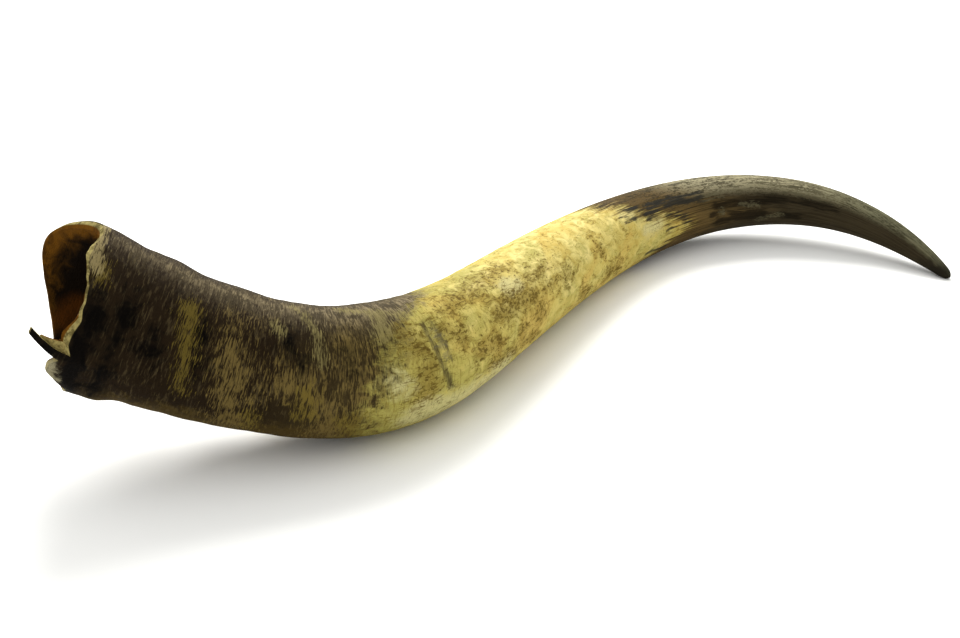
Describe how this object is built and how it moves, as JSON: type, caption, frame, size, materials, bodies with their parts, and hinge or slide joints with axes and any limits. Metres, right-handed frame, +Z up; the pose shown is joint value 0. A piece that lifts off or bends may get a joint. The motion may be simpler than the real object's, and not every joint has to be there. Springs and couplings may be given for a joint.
{
  "type": "watusi horn",
  "caption": "Long hollow cattle horn in an open S-curve: weathered dark base with a broken, ragged mouth, cream middle and solid dark blunt tip, lying at rest.",
  "frame": {"origin": "middle of the horn's footprint box, on the surface that it rests on", "axes": "+Z up from that surface, +X along the horn's longest extent from the open mouth to the tip, +Y away from the viewer of the picture"},
  "size_m": [0.7154, 0.4646, 0.1621],
  "materials": {
    "horn_keratin": "weathered satin keratin: dark brown base, cream middle, dark olive-brown tip"
  },
  "bodies": {
    "root": {"horn": "horn_keratin"}
  },
  "joints": []
}
